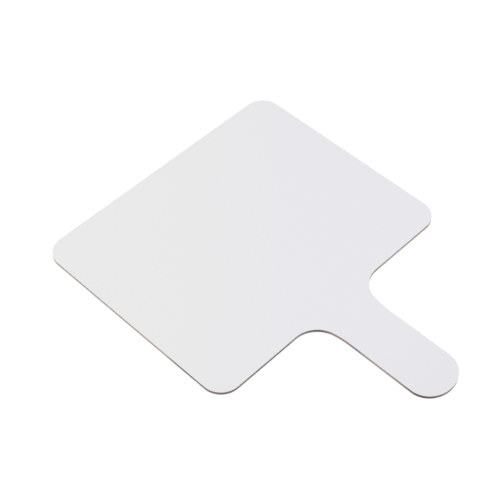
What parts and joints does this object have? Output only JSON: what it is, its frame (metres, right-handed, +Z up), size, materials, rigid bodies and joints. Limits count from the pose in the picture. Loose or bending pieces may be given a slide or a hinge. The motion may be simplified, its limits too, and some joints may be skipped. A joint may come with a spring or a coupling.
{
  "type": "dry-erase scoring paddle",
  "caption": "Blank white dry-erase scoring paddle: a flat panel with rounded corners and a short rounded handle, cut in one outline from film-faced brown hardboard.",
  "frame": {"origin": "under the middle of the overall width and length, on the underside of the board that the paddle rests on", "axes": "+Z up out of the front writing face; +Y along the handle, from its tip towards the panel's far edge; +X to the right, seen from the front with the handle nearest"},
  "size_m": [0.2, 0.252, 0.0025],
  "materials": {
    "white_film": "gloss",
    "glue_line": "satin",
    "hardboard": "matte"
  },
  "bodies": {
    "root": {"back_film": "white_film", "back_glue_layer": "glue_line", "hardboard_core": "hardboard", "front_glue_layer": "glue_line", "front_film": "white_film"}
  },
  "joints": []
}
